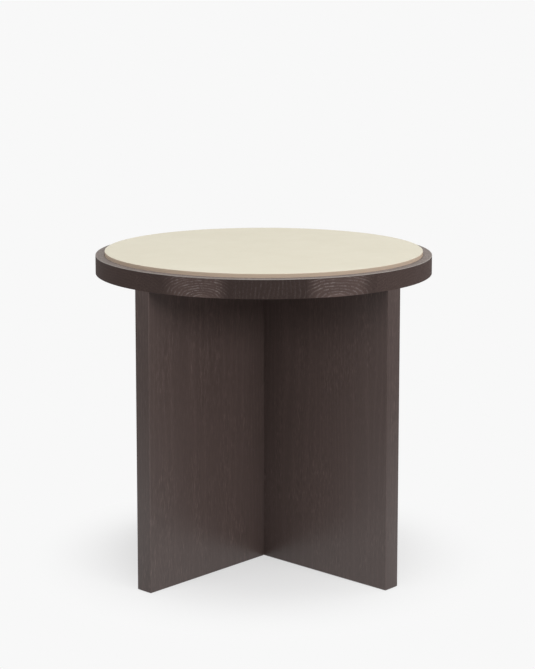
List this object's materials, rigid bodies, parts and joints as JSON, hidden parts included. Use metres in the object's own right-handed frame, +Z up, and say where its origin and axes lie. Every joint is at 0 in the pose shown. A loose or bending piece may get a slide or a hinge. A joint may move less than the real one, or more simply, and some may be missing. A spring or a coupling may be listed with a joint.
{
  "type": "round side table",
  "caption": "Round side table: a pale satin disc set into a dark oak top, standing on upright oak panels that cross in a halving joint.",
  "frame": {"origin": "on the floor, under the middle of the top", "axes": "+Z up through the middle of the top; the front faces -Y, between two arms of the crossed base"},
  "size_m": [0.55, 0.55, 0.5142],
  "materials": {
    "dark_oak": "dark brown-black stained oak with a satin clear coat and open pores",
    "cream_lacquer": "satin cream lacquer on fibreboard, very faintly mottled",
    "beech": "plain raw beech",
    "black_steel": "black powder coat",
    "zinc_steel": "zinc plated",
    "nylon": "dark moulded nylon"
  },
  "bodies": {
    "root": {"top_board_1": "dark_oak", "top_board_2": "dark_oak", "top_board_3": "dark_oak", "top_board_4": "dark_oak", "top_board_5": "dark_oak", "panel_a_board_1": "dark_oak", "panel_a_board_2": "dark_oak", "panel_a_board_3": "dark_oak", "panel_a_board_4": "dark_oak", "panel_a_board_5": "dark_oak", "panel_b_board_1": "dark_oak", "panel_b_board_2": "dark_oak", "panel_b_board_3": "dark_oak", "panel_b_board_4": "dark_oak", "panel_b_board_5": "dark_oak", "inset_disc": "cream_lacquer", "dowel_1": "beech", "dowel_2": "beech", "dowel_3": "beech", "dowel_4": "beech", "angle_bracket_1": "black_steel", "angle_bracket_2": "black_steel", "angle_bracket_3": "black_steel", "angle_bracket_4": "black_steel", "bracket_1_top_screw_1": "zinc_steel", "bracket_1_top_screw_2": "zinc_steel", "bracket_1_side_screw_1": "zinc_steel", "bracket_1_side_screw_2": "zinc_steel", "bracket_2_top_screw_1": "zinc_steel", "bracket_2_top_screw_2": "zinc_steel", "bracket_2_side_screw_1": "zinc_steel", "bracket_2_side_screw_2": "zinc_steel", "bracket_3_top_screw_1": "zinc_steel", "bracket_3_top_screw_2": "zinc_steel", "bracket_3_side_screw_1": "zinc_steel", "bracket_3_side_screw_2": "zinc_steel", "bracket_4_top_screw_1": "zinc_steel", "bracket_4_top_screw_2": "zinc_steel", "bracket_4_side_screw_1": "zinc_steel", "bracket_4_side_screw_2": "zinc_steel", "glide_1": "nylon", "glide_2": "nylon", "glide_3": "nylon", "glide_4": "nylon"}
  },
  "joints": []
}
